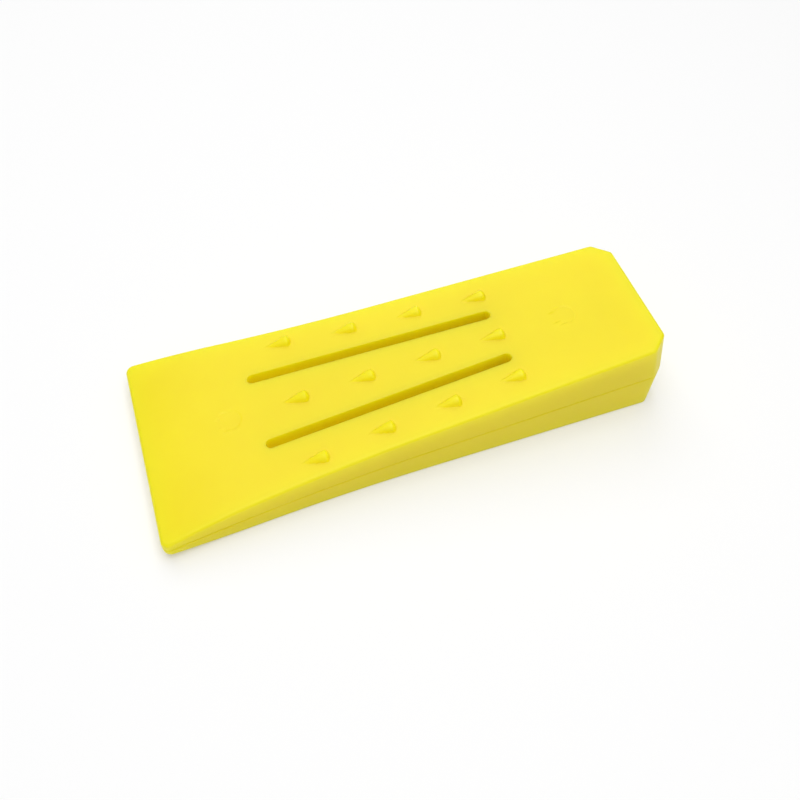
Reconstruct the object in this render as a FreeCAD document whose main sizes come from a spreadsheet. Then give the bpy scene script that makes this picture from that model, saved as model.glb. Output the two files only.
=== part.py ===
import FreeCAD
import Part

import math
import os

import Sketcher

# Felling wedge, moulded in one piece from solid plastic.
#
# The wedge is drawn about its parting plane, where the two mould halves meet: X runs along the
# centreline from the thin end to the struck head, Y across the width and Z out of the parting
# plane. Both halves have the same slots and are mirrored; only the upper face has barbs and the
# prints of ejector pins. The whole is then turned until it rests on its lower face, with the
# origin under its middle.

Vector = FreeCAD.Vector

DIMENSIONS = [
    ("length", 140.0, "thin end to struck head, along the parting plane"),
    ("head_width", 41.8, "width of the head before its corners are cut off"),
    ("waist_width", 47.7, "width where the flare begins"),
    ("flare_length", 70.0, "thin end to where the flare begins"),
    ("flare_radius", 700.0, "hollow curve of each long side along the flare"),
    ("tip_corner_radius", 2.4, "plan corners of the thin end"),
    ("head_thickness", 23.3, "thickness at the struck head"),
    ("tip_thickness", 4.0, "thickness at the thin end"),
    ("run_out_length", 26.0, "stretch where each face curves down to the thin end"),
    ("run_out_thickness", 10.4, "thickness where that stretch begins"),
    ("side_draft", 1.0, "mould draft of the long sides and thin end, degrees"),
    ("corner_cut", 3.0, "leg of the cut head corners at the parting plane"),
    ("corner_cut_draft", 5.5, "draft of the cut head corners, degrees"),
    ("rim_radius", 0.8, "rounding of the edges of both faces"),
    ("slot_width", 2.7, "width of the two slots at their floor"),
    ("slot_start", 32.7, "thin end to the first round end of each slot"),
    ("slot_finish", 98.3, "thin end to the last round end of each slot"),
    ("slot_offset_start", 11.1, "centreline to slot, at its first end"),
    ("slot_offset_finish", 8.0, "centreline to slot, at its last end"),
    ("slot_draft", 0.5, "mould draft of the slot walls, degrees"),
    ("web", 3.0, "solid plastic left between the slots of the two faces"),
    ("barb_length", 6.4, "point of a barb to the start of its round back"),
    ("barb_radius", 1.95, "radius of a barb where its round back starts"),
    ("barb_sink", 0.25, "depth of a barb's centreline under the face"),
    ("barb_dome", 1.2, "how far the round back of a barb reaches"),
    ("barb_start", 44.5, "thin end to where the backs of the first barbs start"),
    ("barb_pitch", 18.4, "from one cross row of barbs to the next"),
    ("barb_offset_1", 20.2, "centreline to the outer barbs of cross row 1"),
    ("barb_offset_2", 17.8, "centreline to the outer barbs of cross row 2"),
    ("barb_offset_3", 16.4, "centreline to the outer barbs of cross row 3"),
    ("barb_offset_4", 14.9, "centreline to the outer barbs of cross row 4"),
    ("pin_radius", 3.2, "ejector pins that print the upper face"),
    ("pin_front", 24.0, "thin end to the front ejector pin"),
    ("pin_back", 118.0, "thin end to the back ejector pin"),
    ("pin_sink", 0.1, "depth of a pin's print at its centre"),
]
CROSS_ROWS = 4
BLOCK_HEIGHT = 16.0  # block that each mould half is cut from
CLEAR = 6.0  # how far the cutting shapes reach outside the wedge
HEAD_STOCK = 1.0  # extra length of the block, which the head is cut from square

# The sketcher's own numbers: the ends and centre of a curve, the origin and the vertical axis.
START, END, CENTRE = 1, 2, 3
ORIGIN = (-1, START)
VERTICAL_AXIS = -2

# Rise of each face along X, as an expression over the sheet.
FACE_SLOPE = (
    "((dims.head_thickness - dims.run_out_thickness) / 2 / (dims.length - dims.run_out_length))"
)

# Narrowing of each long side per length from the waist to the head, as an expression too.
NARROWING = "((dims.waist_width - dims.head_width) / 2 / (dims.length - dims.flare_length))"


def make_sheet(doc):
    """Write every driving dimension to the sheet, with its name as the alias."""
    sheet = doc.addObject("Spreadsheet::Sheet", "dims")
    for row, (alias, value, note) in enumerate(DIMENSIONS, start=1):
        sheet.set(f"A{row}", note)
        sheet.set(f"B{row}", str(value))
        sheet.setAlias(f"B{row}", alias)


def face_height(across):
    """Expression for the height of a straight face over the parting plane, at X = across."""
    return f"(dims.run_out_thickness / 2 + ({across} - dims.run_out_length) * {FACE_SLOPE})"


def origin_plane(body, role):
    for feature in body.Origin.OriginFeatures:
        if feature.Role == role:
            return feature
    raise ValueError(role)


def add_sketch(body, name, role, height=None):
    """Add a sketch on one of the body's own planes, raised by an expression if one is given."""
    sketch = body.newObject("Sketcher::SketchObject", name)
    sketch.AttachmentSupport = [(origin_plane(body, role), "")]
    sketch.MapMode = "FlatFace"
    if height:
        sketch.setExpression("AttachmentOffset.Base.z", height)
    return sketch


def add_line(sketch, start, end):
    return sketch.addGeometry(Part.LineSegment(Vector(*start, 0), Vector(*end, 0)), False)


def add_arc(sketch, centre, radius, first_angle, last_angle):
    """Add an arc that runs anticlockwise from the first angle to the last, in radians."""
    circle = Part.Circle(Vector(*centre, 0), Vector(0, 0, 1), radius)
    return sketch.addGeometry(Part.ArcOfCircle(circle, first_angle, last_angle), False)


def join(sketch, kind, *ends):
    sketch.addConstraint(Sketcher.Constraint(kind, *ends))


def bind(sketch, name, constraint, expression):
    """Add a dimension to a sketch and drive it from the sheet."""
    index = sketch.addConstraint(constraint)
    sketch.renameConstraint(index, name)
    sketch.setExpression(f"Constraints.{name}", expression)


def bind_radius(sketch, name, geometry, expression):
    radius = sketch.Geometry[geometry].Radius
    bind(sketch, name, Sketcher.Constraint("Radius", geometry, radius), expression)


def bind_height(sketch, name, geometry, end, expression):
    height = sketch.getPoint(geometry, end).y
    constraint = Sketcher.Constraint("DistanceY", *ORIGIN, geometry, end, height)
    bind(sketch, f"{name}_height", constraint, expression)


def bind_point(sketch, name, geometry, end, across, height):
    """Hold a point of a sketch at two expressions, measured from the sketch's origin."""
    distance = sketch.getPoint(geometry, end).x
    constraint = Sketcher.Constraint("DistanceX", *ORIGIN, geometry, end, distance)
    bind(sketch, f"{name}_across", constraint, across)
    bind_height(sketch, name, geometry, end, height)


def draw_outline(body, size):
    """Plan outline: wide thin end with round corners, hollow flare, then straight past the head."""
    sketch = add_sketch(body, "outline", "XY_Plane")
    length = size["length"]
    waist_x = size["flare_length"]
    half_waist = size["waist_width"] / 2
    half_head = size["head_width"] / 2
    narrowing = (half_waist - half_head) / (length - waist_x)
    end_x = length + HEAD_STOCK
    half_end = half_head - HEAD_STOCK * narrowing
    flare = size["flare_radius"]
    corner = size["tip_corner_radius"]
    lean = math.atan(narrowing)
    flare_x = waist_x + flare * math.sin(lean)
    flare_y = half_waist + flare * math.cos(lean)
    reach = math.acos((flare_x - corner) / (flare + corner))
    corner_y = flare_y - (flare + corner) * math.sin(reach)

    tip = add_line(sketch, (0, -corner_y), (0, corner_y))
    end = add_line(sketch, (end_x, half_end), (end_x, -half_end))
    for name, sign in (("left", 1), ("right", -1)):
        side = add_line(sketch, (waist_x, sign * half_waist), (end_x, sign * half_end))
        flare_centre = (flare_x, sign * flare_y)
        corner_centre = (corner, sign * corner_y)
        if sign > 0:
            hollow = add_arc(sketch, flare_centre, flare, math.pi + reach, 1.5 * math.pi - lean)
            round_off = add_arc(sketch, corner_centre, corner, reach, math.pi)
            towards_tip, towards_head = START, END
        else:
            hollow = add_arc(sketch, flare_centre, flare, 0.5 * math.pi + lean, math.pi - reach)
            round_off = add_arc(sketch, corner_centre, corner, math.pi, 2 * math.pi - reach)
            towards_tip, towards_head = END, START
        join(sketch, "Tangent", hollow, towards_head, side, START)
        join(sketch, "Tangent", round_off, towards_tip, hollow, towards_tip)
        join(sketch, "Tangent", tip, towards_head, round_off, towards_head)
        join(sketch, "Coincident", side, END, end, towards_tip)
        join(sketch, "PointOnObject", tip, towards_head, VERTICAL_AXIS)
        bind_point(sketch, f"{name}_waist", side, START,
                   "dims.flare_length", f"{sign} * dims.waist_width / 2")
        bind_point(sketch, f"{name}_end", side, END, f"dims.length + {HEAD_STOCK}",
                   f"{sign} * (dims.head_width / 2 - {HEAD_STOCK} * {NARROWING})")
        bind_radius(sketch, f"{name}_flare", hollow, "dims.flare_radius")
        bind_radius(sketch, f"{name}_corner", round_off, "dims.tip_corner_radius")
    return sketch


def draw_beyond_skin(body, size):
    """Side view of all beyond the head and above a face, which curves down at the thin end."""
    sketch = add_sketch(body, "beyond_skin", "XZ_Plane")
    tip = Vector(0, size["tip_thickness"] / 2, 0)
    run_out = Vector(size["run_out_length"], size["run_out_thickness"] / 2, 0)
    head = Vector(size["length"], size["head_thickness"] / 2, 0)
    inward = Vector(head.y - run_out.y, run_out.x - head.x, 0).normalize()
    chord = tip - run_out
    radius = chord.dot(chord) / (2 * chord.dot(inward))
    centre = run_out + inward * radius
    first_angle = math.atan2(run_out.y - centre.y, run_out.x - centre.x)
    last_angle = math.atan2(tip.y - centre.y, tip.x - centre.x)
    ceiling = BLOCK_HEIGHT + CLEAR

    curve = add_arc(sketch, (centre.x, centre.y), radius, first_angle, last_angle)
    face = add_line(sketch, (run_out.x, run_out.y), (head.x, head.y))
    back = add_line(sketch, (head.x, head.y), (head.x, -CLEAR))
    under = add_line(sketch, (head.x, -CLEAR), (head.x + CLEAR, -CLEAR))
    beyond = add_line(sketch, (head.x + CLEAR, -CLEAR), (head.x + CLEAR, ceiling))
    top = add_line(sketch, (head.x + CLEAR, ceiling), (-CLEAR, ceiling))
    front = add_line(sketch, (-CLEAR, ceiling), (-CLEAR, tip.y))
    floor = add_line(sketch, (-CLEAR, tip.y), (0, tip.y))
    join(sketch, "Tangent", face, START, curve, START)
    loop = (face, back, under, beyond, top, front, floor)
    for before, after in zip(loop, loop[1:]):
        join(sketch, "Coincident", before, END, after, START)
    join(sketch, "Coincident", floor, END, curve, END)
    join(sketch, "PointOnObject", curve, END, VERTICAL_AXIS)
    for edge in (back, beyond, front):
        join(sketch, "Vertical", edge)
    for edge in (under, top, floor):
        join(sketch, "Horizontal", edge)
    bind_height(sketch, "tip", curve, END, "dims.tip_thickness / 2")
    bind_point(sketch, "run_out", face, START,
               "dims.run_out_length", "dims.run_out_thickness / 2")
    bind_point(sketch, "head", face, END, "dims.length", "dims.head_thickness / 2")
    bind_point(sketch, "near_corner", top, END, str(-CLEAR), str(ceiling))
    bind_point(sketch, "far_corner", beyond, START, f"dims.length + {CLEAR}", str(-CLEAR))
    return sketch


def draw_corner_cuts(body, size):
    """Triangles that take off both corners of the head and reach well outside it."""
    sketch = add_sketch(body, "head_corners", "XY_Plane")
    length = size["length"]
    leg = size["corner_cut"]
    half_head = size["head_width"] / 2
    for name, sign in (("left", 1), ("right", -1)):
        on_side = (length - leg, sign * half_head)
        on_head = (length, sign * (half_head - leg))
        beyond = (length + CLEAR, sign * (half_head + CLEAR))
        cut = add_line(sketch, on_side, on_head)
        inner = add_line(sketch, on_head, beyond)
        outer = add_line(sketch, beyond, on_side)
        for before, after in ((cut, inner), (inner, outer), (outer, cut)):
            join(sketch, "Coincident", before, END, after, START)
        bind_point(sketch, f"{name}_side", cut, START,
                   "dims.length - dims.corner_cut", f"{sign} * dims.head_width / 2")
        bind_point(sketch, f"{name}_head", cut, END,
                   "dims.length", f"{sign} * (dims.head_width / 2 - dims.corner_cut)")
        bind_point(sketch, f"{name}_beyond", inner, END,
                   f"dims.length + {CLEAR}", f"{sign} * (dims.head_width / 2 + {CLEAR})")
    return sketch


def draw_slots(body, size):
    """Two long slots with round ends, which draw together towards the head."""
    sketch = add_sketch(body, "slots_outline", "XY_Plane", "dims.web / 2")
    radius = size["slot_width"] / 2
    for name, sign in (("left", 1), ("right", -1)):
        first = Vector(size["slot_start"], sign * size["slot_offset_start"], 0)
        last = Vector(size["slot_finish"], sign * size["slot_offset_finish"], 0)
        along = (last - first).normalize()
        heading = math.atan2(along.y, along.x)
        across = Vector(-along.y, along.x, 0) * radius
        quarter = math.pi / 2
        front = add_arc(sketch, tuple(first)[:2], radius, heading + quarter, heading + 3 * quarter)
        near = add_line(sketch, tuple(first - across)[:2], tuple(last - across)[:2])
        back = add_arc(sketch, tuple(last)[:2], radius, heading - quarter, heading + quarter)
        far = add_line(sketch, tuple(last + across)[:2], tuple(first + across)[:2])
        for before, after in ((front, near), (near, back), (back, far), (far, front)):
            join(sketch, "Tangent", before, END, after, START)
        bind_point(sketch, f"{name}_first", front, CENTRE,
                   "dims.slot_start", f"{sign} * dims.slot_offset_start")
        bind_point(sketch, f"{name}_last", back, CENTRE,
                   "dims.slot_finish", f"{sign} * dims.slot_offset_finish")
        bind_radius(sketch, f"{name}_end", front, "dims.slot_width / 2")
    return sketch


def draw_pin_print(body, size, pin):
    """Print of a flat round ejector pin, sunk square into the sloping upper face."""
    across = f"dims.{pin}"
    sketch = add_sketch(body, f"{pin}_print", "XY_Plane", f"{face_height(across)} - dims.pin_sink")
    sketch.AttachmentOffset = FreeCAD.Placement(Vector(), FreeCAD.Rotation(Vector(0, -1, 0), 1))
    sketch.setExpression("AttachmentOffset.Base.x", across)
    sketch.setExpression("AttachmentOffset.Rotation.Angle", f"atan({FACE_SLOPE})")
    circle = Part.Circle(Vector(), Vector(0, 0, 1), size["pin_radius"])
    edge = sketch.addGeometry(circle, False)
    join(sketch, "Coincident", edge, CENTRE, *ORIGIN)
    bind_radius(sketch, "pin", edge, "dims.pin_radius")
    return sketch


def cut(body, name, sketch, draft=None, both_ways=False):
    """Cut from a sketch, either up through the block or both ways, and check that it cut."""
    before = body.Shape.Volume
    pocket = body.newObject("PartDesign::Pocket", name)
    pocket.Profile = sketch
    if both_ways:
        pocket.SideType = "Symmetric"
        pocket.setExpression("Length", "2 * dims.waist_width")
    else:
        pocket.Reversed = True
        pocket.Length = BLOCK_HEIGHT
    if draft:
        pocket.setExpression("TaperAngle", draft)
    body.Document.recompute()
    if not 0 < body.Shape.Volume < before:
        raise RuntimeError(f"{name} cut nothing")


def rim_edges(shape, size):
    """Names of the edges around a face: all that lie on it but the line where it curves away."""
    run_out_x = size["run_out_length"]
    run_out_z = size["run_out_thickness"] / 2
    slope = (size["head_thickness"] / 2 - run_out_z) / (size["length"] - run_out_x)
    names = []
    for number, edge in enumerate(shape.Edges, start=1):
        middle = edge.valueAt((edge.FirstParameter + edge.LastParameter) / 2)
        straight = run_out_z + (middle.x - run_out_x) * slope
        if middle.x > run_out_x + 1:
            on_face = middle.z > straight - 0.01
        else:
            on_face = middle.z > size["tip_thickness"] / 2 - 0.01
        crosses_face = abs(middle.y) < 1 and abs(middle.x - run_out_x) < 1
        if on_face and not crosses_face:
            names.append(f"Edge{number}")
    return names


def round_rim(body, size):
    fillet = body.newObject("PartDesign::Fillet", "rounded_rim")
    base = fillet.BaseFeature
    fillet.Base = (base, rim_edges(base.Shape, size))
    fillet.setExpression("Radius", "dims.rim_radius")


def add_barb(body, name, across, sideways):
    """A cone just over half sunk in the face, with its point to the thin end and a domed back."""
    cone = body.newObject("PartDesign::AdditiveCone", name)
    cone.Radius2 = 0
    cone.setExpression("Radius1", "dims.barb_radius")
    cone.setExpression("Height", "dims.barb_length")
    dome = body.newObject("PartDesign::AdditiveEllipsoid", f"{name}_back")
    dome.Angle2 = 0
    dome.setExpression("Radius1", "dims.barb_dome")
    dome.setExpression("Radius2", "dims.barb_radius")
    dome.setExpression("Radius3", "dims.barb_radius")
    for solid in (cone, dome):
        solid.Placement = FreeCAD.Placement(Vector(), FreeCAD.Rotation(Vector(0, -1, 0), 90))
        solid.setExpression("Placement.Base.x", across)
        solid.setExpression("Placement.Base.y", sideways)
        solid.setExpression("Placement.Base.z", f"{face_height(across)} - dims.barb_sink")
        solid.setExpression("Placement.Rotation.Angle", f"90 deg + atan({FACE_SLOPE})")


def add_barbs(body):
    """Cross rows of three barbs on the upper face, the outer ones following the wedge's waist."""
    for row in range(CROSS_ROWS):
        across = f"(dims.barb_start + {row} * dims.barb_pitch)"
        offset = f"dims.barb_offset_{row + 1}"
        add_barb(body, f"left_barb_{row + 1}", across, offset)
        add_barb(body, f"middle_barb_{row + 1}", across, "0")
        add_barb(body, f"right_barb_{row + 1}", across, f"-{offset}")


def make_wedge(doc, size):
    """Build one mould half's side of the wedge, mirror it, then finish the upper face."""
    body = doc.addObject("PartDesign::Body", "wedge_body")
    block = body.newObject("PartDesign::Pad", "half_block")
    block.Profile = draw_outline(body, size)
    block.Length = BLOCK_HEIGHT
    block.setExpression("TaperAngle", "-dims.side_draft")
    doc.recompute()
    cut(body, "head_and_upper_face", draw_beyond_skin(body, size), both_ways=True)
    cut(body, "head_corner_cuts", draw_corner_cuts(body, size), "dims.corner_cut_draft")
    round_rim(body, size)
    doc.recompute()
    cut(body, "slots", draw_slots(body, size), "dims.slot_draft")
    whole = body.newObject("PartDesign::Mirrored", "both_halves")
    whole.TransformMode = "Whole shape"
    whole.MirrorPlane = (origin_plane(body, "XY_Plane"), [""])
    body.Tip = whole
    doc.recompute()
    for pin in ("pin_front", "pin_back"):
        cut(body, f"{pin}_mark", draw_pin_print(body, size, pin))
    add_barbs(body)
    doc.recompute()
    return body


def lay_down(body, size):
    """Turn the wedge until its lower face is level and stand it over the origin."""
    rise = (size["head_thickness"] - size["run_out_thickness"]) / 2
    slope = math.degrees(math.atan2(rise, size["length"] - size["run_out_length"]))
    turn = FreeCAD.Rotation(Vector(0, -1, 0), slope)
    body.Placement = FreeCAD.Placement(Vector(), turn)
    box = body.Shape.optimalBoundingBox(False)
    body.Placement = FreeCAD.Placement(Vector(-box.Center.x, -box.Center.y, -box.ZMin), turn)


def check(doc, parts):
    """Stop if any object failed to build or any part isn't one sound solid."""
    for thing in doc.Objects:
        if "Invalid" in thing.State or "Error" in thing.State:
            raise RuntimeError(f"{thing.Name}: {thing.State}")
    for part in parts:
        shape = part.Shape
        if shape.isNull() or not shape.isValid() or len(shape.Solids) != 1:
            raise RuntimeError(f"{part.Label} isn't one sound solid")


def main():
    size = {alias: value for alias, value, note in DIMENSIONS}
    doc = FreeCAD.newDocument("felling_wedge")
    make_sheet(doc)
    doc.recompute()
    wedge = make_wedge(doc, size)
    lay_down(wedge, size)
    doc.recompute()
    check(doc, [wedge])
    os.makedirs("parts", exist_ok=True)
    wedge.Shape.exportStep(f"parts/{wedge.Label}.step")
    box = wedge.Shape.optimalBoundingBox(False)
    print(f"{wedge.Label}: {box.XLength:.2f} x {box.YLength:.2f} x {box.ZLength:.2f} mm,"
          f" {wedge.Shape.Volume / 1000:.1f} cm3")


main()
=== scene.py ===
import math

import bpy
import numpy as np
from mathutils import Matrix, Vector


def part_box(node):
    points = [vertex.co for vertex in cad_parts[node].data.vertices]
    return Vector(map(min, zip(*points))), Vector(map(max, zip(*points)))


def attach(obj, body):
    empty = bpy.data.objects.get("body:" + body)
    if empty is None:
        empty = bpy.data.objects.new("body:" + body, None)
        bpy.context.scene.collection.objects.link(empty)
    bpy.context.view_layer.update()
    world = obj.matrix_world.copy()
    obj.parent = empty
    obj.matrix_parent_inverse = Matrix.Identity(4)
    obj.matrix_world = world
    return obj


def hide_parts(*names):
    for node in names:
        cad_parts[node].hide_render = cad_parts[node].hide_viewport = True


# A felling wedge, moulded in one piece from yellow plastic, on a white studio floor.
#
# The wedge's skin is a distance function: negative inside the plastic, positive outside, with every
# edge rounded as a mould leaves it. It is written in millimetres about the parting plane, where the
# two mould halves meet: X runs from the thin end to the struck head, Y across, Z out of the plane.
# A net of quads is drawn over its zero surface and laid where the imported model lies. The scene
# itself is in metres.

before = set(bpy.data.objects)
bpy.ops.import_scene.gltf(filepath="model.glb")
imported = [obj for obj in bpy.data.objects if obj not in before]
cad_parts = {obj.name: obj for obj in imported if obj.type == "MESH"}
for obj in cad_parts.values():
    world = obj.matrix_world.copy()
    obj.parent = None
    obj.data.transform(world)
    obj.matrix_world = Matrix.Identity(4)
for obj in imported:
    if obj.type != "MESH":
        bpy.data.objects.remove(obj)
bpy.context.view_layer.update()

MM = 0.001

# Plan outline
LENGTH = 140.0
HEAD_WIDTH = 41.8
WAIST_WIDTH = 47.7
FLARE_LENGTH = 70.0
FLARE_RADIUS = 700.0
TIP_CORNER_RADIUS = 2.4

# Thickness, and the slope of the faces
HEAD_THICKNESS = 23.3
TIP_THICKNESS = 4.0
RUN_OUT_LENGTH = 26.0
RUN_OUT_THICKNESS = 10.4
SLOPE = (HEAD_THICKNESS - RUN_OUT_THICKNESS) / 2 / (LENGTH - RUN_OUT_LENGTH)
FACE_ANGLE = math.atan(SLOPE)

# What the mould does to the walls and edges
SIDE_DRAFT = math.tan(math.radians(1.0))
CORNER_CUT = 3.0
CORNER_CUT_DRAFT = math.tan(math.radians(5.5))
RIM_RADIUS = 0.8
HEAD_EDGE_RADIUS = 0.5
SEAM_DEPTH = 0.22
SEAM_WIDTH = 0.15

# Blind slots, one each side of the centreline in both faces
SLOT_WIDTH = 2.7
SLOT_START = 32.7
SLOT_FINISH = 98.3
SLOT_OFFSET_START = 11.1
SLOT_OFFSET_FINISH = 8.0
SLOT_DRAFT = math.tan(math.radians(0.5))
SLOT_RIM_RADIUS = 0.2
SLOT_FLOOR_RADIUS = 0.6
HALF_WEB = 1.5

# Barbs of the upper face: half cones that point to the thin end, with round backs
BARB_LENGTH = 6.4
BARB_RADIUS = 1.95
BARB_SINK = 0.25
BARB_DOME = 1.2
BARB_START = 44.5
BARB_PITCH = 18.4
BARB_OFFSETS = (20.2, 17.8, 16.4, 14.9)
BARB_EDGE_RADIUS = 0.2

# Prints of the flat ejector pins, in the upper face too
PIN_RADIUS = 3.2
PIN_PLACES = (24.0, 118.0)
PIN_SINK = 0.1
PIN_EDGE = 0.12

# Grid that the skin is drawn from
GRID_MARGIN = 0.8
GAP_GROWTH = 0.45  # how fast the gaps between lines widen away from a detail
BARB_LAYER = 0.28  # gap between the layers over a face, which hold the barbs
BARB_HEADROOM = 2.3
LEAST_STEEPNESS = 0.2  # keeps a vertex from jumping where the skin's slope fades

# Floor, in metres
FLOOR_REACH = 3.0
FLOOR_DROP = 0.00002  # keeps the floor clear of the lower face


def round_max(a, b, radius):
    """What is inside both a and b, with the edge where they meet rounded to a radius."""
    return np.minimum(np.maximum(a, b), -radius) + np.hypot(
        np.maximum(a + radius, 0), np.maximum(b + radius, 0)
    )


def round_min(a, b, radius):
    """What is inside a or b, with the corner where they meet filled to a radius."""
    return -round_max(-a, -b, radius)


def flare_circle():
    """Centre of the circle that hollows the long side from the thin end to the waist."""
    lean = math.atan2((WAIST_WIDTH - HEAD_WIDTH) / 2, LENGTH - FLARE_LENGTH)
    across = FLARE_LENGTH + FLARE_RADIUS * math.sin(lean)
    sideways = WAIST_WIDTH / 2 + FLARE_RADIUS * math.cos(lean)
    return across, sideways


def half_width(x):
    """Half the width at the parting plane."""
    across, sideways = flare_circle()
    hollow = sideways - np.sqrt(FLARE_RADIUS**2 - (x - across) ** 2)
    narrowing = (WAIST_WIDTH - HEAD_WIDTH) / 2 / (LENGTH - FLARE_LENGTH)
    straight = WAIST_WIDTH / 2 - (x - FLARE_LENGTH) * narrowing
    return np.where(x < FLARE_LENGTH, hollow, straight)


def half_thickness(x):
    """Half the thickness: straight from the head, then a round run-out to the thin end."""
    straight = RUN_OUT_THICKNESS / 2 + (x - RUN_OUT_LENGTH) * SLOPE
    drop = (RUN_OUT_THICKNESS - TIP_THICKNESS) / 2 - RUN_OUT_LENGTH * SLOPE
    short = np.maximum(RUN_OUT_LENGTH - x, 0)
    return straight - drop * (short / RUN_OUT_LENGTH) ** 2


def slot_offset(x):
    share = (x - SLOT_START) / (SLOT_FINISH - SLOT_START)
    return SLOT_OFFSET_START + share * (SLOT_OFFSET_FINISH - SLOT_OFFSET_START)


def plan_skin(x, y, z):
    """Distance to the walls: long sides, thin end, head and its two cut corners."""
    lean = z * SIDE_DRAFT
    long_sides = y - half_width(x) + lean
    thin_end = lean - x
    head = x - LENGTH
    reach = (x - LENGTH) + (y - HEAD_WIDTH / 2) + CORNER_CUT
    cut_corner = reach / math.sqrt(2) + z * CORNER_CUT_DRAFT
    front = round_max(long_sides, thin_end, TIP_CORNER_RADIUS)
    back = round_max(head, cut_corner, HEAD_EDGE_RADIUS)
    seam = SEAM_DEPTH * np.exp(-((z / SEAM_WIDTH) ** 2))
    return round_max(front, back, HEAD_EDGE_RADIUS) + seam


def slot_skin(x, y, z):
    """Distance to a slot's walls and floor, negative in its hollow."""
    run = np.array([SLOT_FINISH - SLOT_START, SLOT_OFFSET_FINISH - SLOT_OFFSET_START])
    from_start = (x - SLOT_START, y - SLOT_OFFSET_START)
    share = (from_start[0] * run[0] + from_start[1] * run[1]) / run.dot(run)
    share = np.clip(share, 0, 1)
    away = np.hypot(from_start[0] - share * run[0], from_start[1] - share * run[1])
    walls = away - SLOT_WIDTH / 2 - (z - HALF_WEB) * SLOT_DRAFT
    return round_max(walls, HALF_WEB - z, SLOT_FLOOR_RADIUS)


def barb_skin(x, y, z, back, offset):
    """Distance to one barb, whose round back starts at X = back."""
    rise = z - half_thickness(back) + BARB_SINK
    along = (x - back) * math.cos(FACE_ANGLE) + rise * math.sin(FACE_ANGLE)
    above = rise * math.cos(FACE_ANGLE) - (x - back) * math.sin(FACE_ANGLE)
    around = np.hypot(y - offset, above)
    spread = BARB_RADIUS / BARB_LENGTH
    cone = (around - BARB_RADIUS - along * spread) / math.hypot(1, spread)
    dome = np.hypot(around / BARB_RADIUS, np.maximum(along, 0) / BARB_DOME) - 1
    return round_max(cone, dome * BARB_DOME, BARB_EDGE_RADIUS)


def pin_print(x, y, place):
    """Depth of the print of a flat ejector pin, with a soft edge."""
    beyond = np.hypot(x - place, y) - PIN_RADIUS
    return PIN_SINK * (1 - np.tanh(beyond / PIN_EDGE)) / 2


def wedge_skin(points):
    """Distance to the whole wedge. Only the upper face has barbs and prints."""
    x = points[..., 0]
    y = np.abs(points[..., 1])
    height = points[..., 2]
    z = np.abs(height)
    sunk = sum(pin_print(x, y, place) for place in PIN_PLACES)
    face = (z - half_thickness(x) + np.where(height > 0, sunk, 0)) * math.cos(FACE_ANGLE)
    skin = round_max(plan_skin(x, y, z), face, RIM_RADIUS)
    skin = round_max(skin, -slot_skin(x, y, z), SLOT_RIM_RADIUS)
    for row, outer in enumerate(BARB_OFFSETS):
        back = BARB_START + row * BARB_PITCH
        for offset in (0, outer):
            skin = round_min(skin, barb_skin(x, y, height, back, offset), BARB_EDGE_RADIUS)
    return skin


def slope_of_skin(points, step=0.004):
    """Gradient of the distance function, by small steps to both sides."""
    slopes = np.empty_like(points)
    for axis in range(3):
        move = np.zeros(3)
        move[axis] = step
        rise = wedge_skin(points + move) - wedge_skin(points - move)
        slopes[..., axis] = rise / (2 * step)
    return slopes


def spread_lines(start, end, coarse, details):
    """Grid lines from start to end, coarse apart, but finer near each (place, reach, fine)."""
    lines = [start]
    while lines[-1] < end:
        here = lines[-1]
        gap = coarse
        for place, reach, fine in details:
            beyond = max(abs(here + fine - place) - reach, 0)
            gap = min(gap, fine + GAP_GROWTH * beyond)
        lines.append(here + gap)
    return np.array(lines)


def lines_along():
    """Grid lines along the wedge, in millimetres, finer at its ends and around each detail."""
    details = [(0, 1.2, 0.25), (LENGTH, 1.3, 0.25), (LENGTH - CORNER_CUT, 0.5, 0.3)]
    for row in range(len(BARB_OFFSETS)):
        details.append((BARB_START + row * BARB_PITCH + BARB_DOME / 2, 0.7, 0.22))
    for end in (SLOT_START, SLOT_FINISH):
        details.append((end, 1.3, 0.25))
    for place in PIN_PLACES:
        details.append((place + 0.8 * PIN_RADIUS, 0.5, 0.24))
        details.append((place + PIN_RADIUS, 0.5, 0.24))
    return spread_lines(-GRID_MARGIN, LENGTH + GRID_MARGIN, 1.5, details)


def steps_across():
    """Grid lines across: 0 is the centreline, 1 a slot's centreline and 2 the long side."""
    middle_barbs = (0, 0.17, 0.03)
    inner_wall = (1 - 0.11, 0.04, 0.014)
    outer_wall = (1 + 0.075, 0.03, 0.01)
    rim = (2, 0.09, 0.014)
    inner = spread_lines(0, 1, 0.055, [middle_barbs, inner_wall])
    outer = spread_lines(1, 2, 0.036, [outer_wall, rim])
    outside = [2, 2.02, 2.04]
    return np.concatenate([inner[inner < 1], outer[outer < 2], outside])


def steps_up():
    """Grid lines out of the parting plane: 0 is the plane, 1 the slot floors and 2 the face."""
    seam = (0, 0.14, 0.05)
    under_slot_floor = (1, 0.1, 0.12)
    over_slot_floor = (1, 0.1, 0.06)
    rim = (2, 0.12, 0.03)
    low = spread_lines(0, 1, 0.3, [seam, under_slot_floor])
    high = spread_lines(1, 2, 0.12, [over_slot_floor, rim])
    return np.concatenate([low[low < 1], high[high < 2]])


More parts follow.
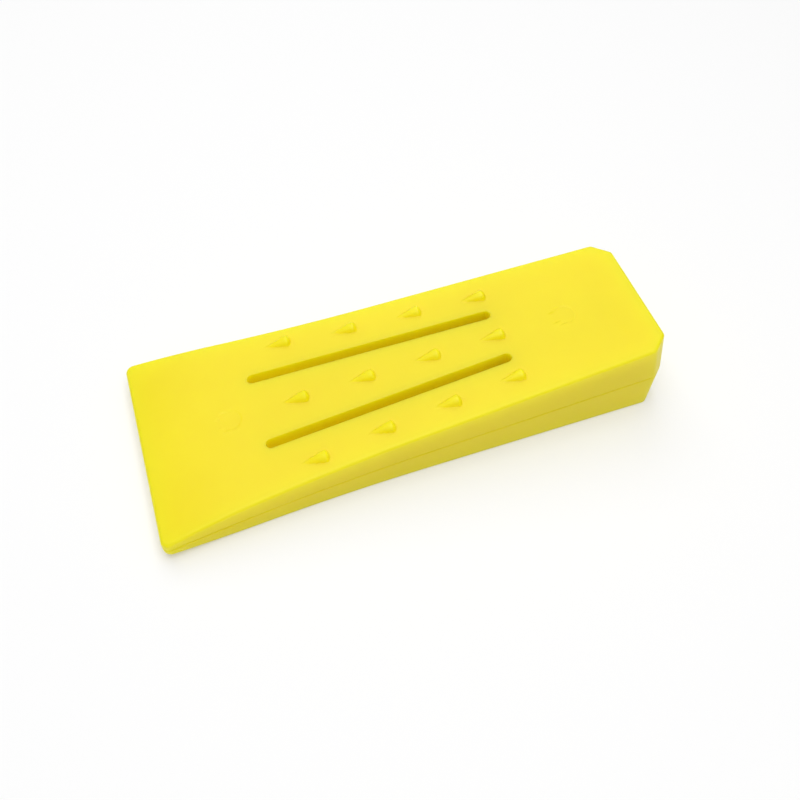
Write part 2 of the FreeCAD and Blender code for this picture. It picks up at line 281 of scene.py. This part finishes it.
def grid_points():
    """Grid whose lines follow the slots, the long sides, the slot floors and the faces."""
    x = lines_along()
    y_steps = steps_across()
    z_steps = steps_up()
    above = np.concatenate([[0], np.arange(BARB_LAYER, BARB_HEADROOM, BARB_LAYER)])

    middle = slot_offset(x)[:, None]
    side = half_width(np.clip(x, 0, LENGTH))[:, None]
    y = np.where(y_steps < 1, y_steps * middle, middle + (y_steps - 1) * (side - middle))
    face = half_thickness(np.clip(x, 0, LENGTH))[:, None]
    z = np.where(z_steps < 1, z_steps * HALF_WEB, HALF_WEB + (z_steps - 1) * (face - HALF_WEB))
    z = np.concatenate([z, face + above], axis=1)
    y = np.concatenate([-y[:, :0:-1], y], axis=1)
    z = np.concatenate([-z[:, :0:-1], z], axis=1)
    shape = (len(x), y.shape[1], z.shape[1])
    return np.stack(
        [
            np.broadcast_to(x[:, None, None], shape),
            np.broadcast_to(y[:, :, None], shape),
            np.broadcast_to(z[:, None, :], shape),
        ],
        axis=-1,
    )


def draw_net(grid, values):
    """Quads over the zero surface: a vertex in each cell it crosses, a face over each edge."""
    inside = values < 0
    cells = tuple(size - 1 for size in inside.shape)
    total = np.zeros(cells + (3,))
    count = np.zeros(cells)
    quads = []
    crossings = []
    for axis in range(3):
        low = [slice(None)] * 3
        high = [slice(None)] * 3
        low[axis] = slice(0, -1)
        high[axis] = slice(1, None)
        low, high = tuple(low), tuple(high)
        spots = np.nonzero(inside[low] != inside[high])
        near = values[low][spots]
        share = near / (near - values[high][spots])
        point = grid[low][spots] * (1 - share[:, None]) + grid[high][spots] * share[:, None]
        crossings.append((axis, spots, point, inside[low][spots]))
    for axis, spots, point, starts_inside in crossings:
        first, second = [(axis + 1) % 3, (axis + 2) % 3]
        around = []
        for step_first, step_second in ((0, 0), (-1, 0), (-1, -1), (0, -1)):
            cell = [index.copy() for index in spots]
            cell[first] += step_first
            cell[second] += step_second
            flat = np.ravel_multi_index(cell, cells)
            around.append(flat)
            np.add.at(total.reshape(-1, 3), flat, point)
            np.add.at(count.reshape(-1), flat, 1)
        ring = np.stack(around, axis=1)
        ring[~starts_inside] = ring[~starts_inside][:, ::-1]
        quads.append(ring)
    used = np.nonzero(count.reshape(-1))[0]
    names = np.full(count.size, -1)
    names[used] = np.arange(len(used))
    vertices = total.reshape(-1, 3)[used] / count.reshape(-1)[used][:, None]
    return vertices, names[np.concatenate(quads)]


def settle(vertices, rounds=4):
    """Move each vertex straight onto the zero surface and return its outward normal too."""
    for _ in range(rounds):
        slopes = slope_of_skin(vertices)
        steepness = np.maximum((slopes**2).sum(-1), LEAST_STEEPNESS)
        vertices = vertices - slopes * (wedge_skin(vertices) / steepness)[:, None]
    slopes = slope_of_skin(vertices)
    return vertices, slopes / np.linalg.norm(slopes, axis=1)[:, None]


def lay_down(vertices, normals):
    """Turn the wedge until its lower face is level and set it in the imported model's box."""
    turn = np.array(Matrix.Rotation(-FACE_ANGLE, 3, "Y"))
    vertices = vertices @ turn.T * MM
    low, high = (np.array(corner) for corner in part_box("wedge_body"))
    middle = (vertices.min(0) + vertices.max(0)) / 2
    shift = (low + high) / 2 - middle
    shift[2] = low[2] - vertices[:, 2].min()
    return vertices + shift, normals @ turn.T


def make_wedge():
    grid = grid_points()
    vertices, quads = draw_net(grid, wedge_skin(grid))
    vertices, normals = settle(vertices)
    vertices, normals = lay_down(vertices, normals)
    mesh = bpy.data.meshes.new("wedge")
    mesh.from_pydata(vertices.tolist(), [], quads.tolist())
    mesh.validate()
    mesh.shade_smooth()
    mesh.normals_split_custom_set_from_vertices(normals.tolist())
    wedge = bpy.data.objects.new("wedge", mesh)
    bpy.context.scene.collection.objects.link(wedge)
    return wedge


# Materials


class Nodes:
    """Short calls for building a material's node tree."""

    def __init__(self, name):
        self.material = bpy.data.materials.new(name)
        self.material.use_nodes = True
        self.tree = self.material.node_tree
        self.shader = self.tree.nodes["Principled BSDF"]

    def add(self, kind, **settings):
        node = self.tree.nodes.new(kind)
        for name, value in settings.items():
            if name in node.inputs:
                node.inputs[name].default_value = value
            else:
                setattr(node, name, value)
        return node

    def link(self, output, socket):
        self.tree.links.new(output, socket)


def yellow_plastic():
    """Satin moulded plastic that lets light in, with faint clouding and fine grain."""
    nodes = Nodes("yellow_plastic")
    shader = nodes.shader
    shader.inputs["Subsurface Weight"].default_value = 1.0
    shader.inputs["Subsurface Radius"].default_value = (1.0, 1.0, 0.1)
    shader.inputs["Subsurface Scale"].default_value = 0.009
    shader.inputs["IOR"].default_value = 1.5
    shader.inputs["Specular IOR Level"].default_value = 0.3

    place = nodes.add("ShaderNodeTexCoord").outputs["Object"]
    cloud = nodes.add("ShaderNodeTexNoise", Scale=45.0, Detail=3.0)
    nodes.link(place, cloud.inputs["Vector"])
    tint = nodes.add("ShaderNodeValToRGB")
    tint.color_ramp.elements[0].position = 0.3
    tint.color_ramp.elements[0].color = (0.825, 0.695, 0.006, 1)
    tint.color_ramp.elements[1].position = 0.7
    tint.color_ramp.elements[1].color = (0.855, 0.725, 0.010, 1)
    nodes.link(cloud.outputs["Fac"], tint.inputs["Fac"])
    nodes.link(tint.outputs["Color"], shader.inputs["Base Color"])

    grain = nodes.add("ShaderNodeTexNoise", Scale=2600.0, Detail=2.0)
    nodes.link(place, grain.inputs["Vector"])
    gloss = nodes.add("ShaderNodeMapRange")
    gloss.inputs["To Min"].default_value = 0.36
    gloss.inputs["To Max"].default_value = 0.48
    nodes.link(cloud.outputs["Fac"], gloss.inputs["Value"])
    nodes.link(gloss.outputs["Result"], shader.inputs["Roughness"])
    bump = nodes.add("ShaderNodeBump", Strength=0.12, Distance=0.0001)
    nodes.link(grain.outputs["Fac"], bump.inputs["Height"])
    nodes.link(bump.outputs["Normal"], shader.inputs["Normal"])
    return nodes.material


def floor_paint():
    nodes = Nodes("studio_floor")
    nodes.shader.inputs["Base Color"].default_value = (0.65, 0.65, 0.65, 1)
    nodes.shader.inputs["Emission Color"].default_value = (1, 1, 1, 1)
    nodes.shader.inputs["Emission Strength"].default_value = 0.27
    nodes.shader.inputs["Roughness"].default_value = 0.7
    nodes.shader.inputs["Specular IOR Level"].default_value = 0.2
    return nodes.material


# Studio


def make_floor():
    mesh = bpy.data.meshes.new("floor")
    corners = [
        (along * FLOOR_REACH, across * FLOOR_REACH, -FLOOR_DROP)
        for along, across in ((-1, -1), (1, -1), (1, 1), (-1, 1))
    ]
    mesh.from_pydata(corners, [], [(0, 1, 2, 3)])
    floor = bpy.data.objects.new("floor", mesh)
    bpy.context.scene.collection.objects.link(floor)
    mesh.materials.append(floor_paint())


def make_softbox(name, place, side, power):
    """Square soft light, aimed at the wedge."""
    light = bpy.data.lights.new(name, "AREA")
    light.shape = "SQUARE"
    light.size = side
    light.energy = power
    lamp = bpy.data.objects.new(name, light)
    lamp.location = place
    lamp.rotation_euler = (-Vector(place)).to_track_quat("-Z", "Y").to_euler()
    bpy.context.scene.collection.objects.link(lamp)


def make_light():
    world = bpy.data.worlds.new("studio")
    world.use_nodes = True
    world.node_tree.nodes["Background"].inputs["Color"].default_value = (1, 1, 1, 1)
    world.node_tree.nodes["Background"].inputs["Strength"].default_value = 0.27
    bpy.context.scene.world = world
    make_softbox("softbox_front", place=(0, -0.18, 1.0), side=0.9, power=7.8)
    make_softbox("softbox_back", place=(0.02, 0.7, 0.98), side=1.0, power=5.3)


def make_camera():
    """From above the near side of the thin end, a little tilted."""
    azimuth = math.radians(19.0)
    elevation = math.radians(52.25)
    roll = math.radians(1.26)
    distance = 0.2771
    aim = Vector((0.0008, 0.0005, 0))
    ahead = Vector((
        math.sin(azimuth) * math.cos(elevation),
        math.cos(azimuth) * math.cos(elevation),
        -math.sin(elevation),
    ))
    data = bpy.data.cameras.new("camera")
    data.lens = 44.55
    data.sensor_width = 36.0
    data.clip_start = 0.01
    camera = bpy.data.objects.new("camera", data)
    turn = ahead.to_track_quat("-Z", "Y").to_matrix().to_4x4()
    camera.matrix_world = (
        Matrix.Translation(aim - distance * ahead) @ turn @ Matrix.Rotation(roll, 4, "Z")
    )
    bpy.context.scene.collection.objects.link(camera)
    bpy.context.scene.camera = camera


wedge = make_wedge()
wedge.data.materials.append(yellow_plastic())
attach(wedge, "root")
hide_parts("wedge_body")
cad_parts["wedge_body"].material_slots[0].material = wedge.data.materials[0]

bpy.context.scene.view_settings.view_transform = "Standard"
make_floor()
make_light()
make_camera()
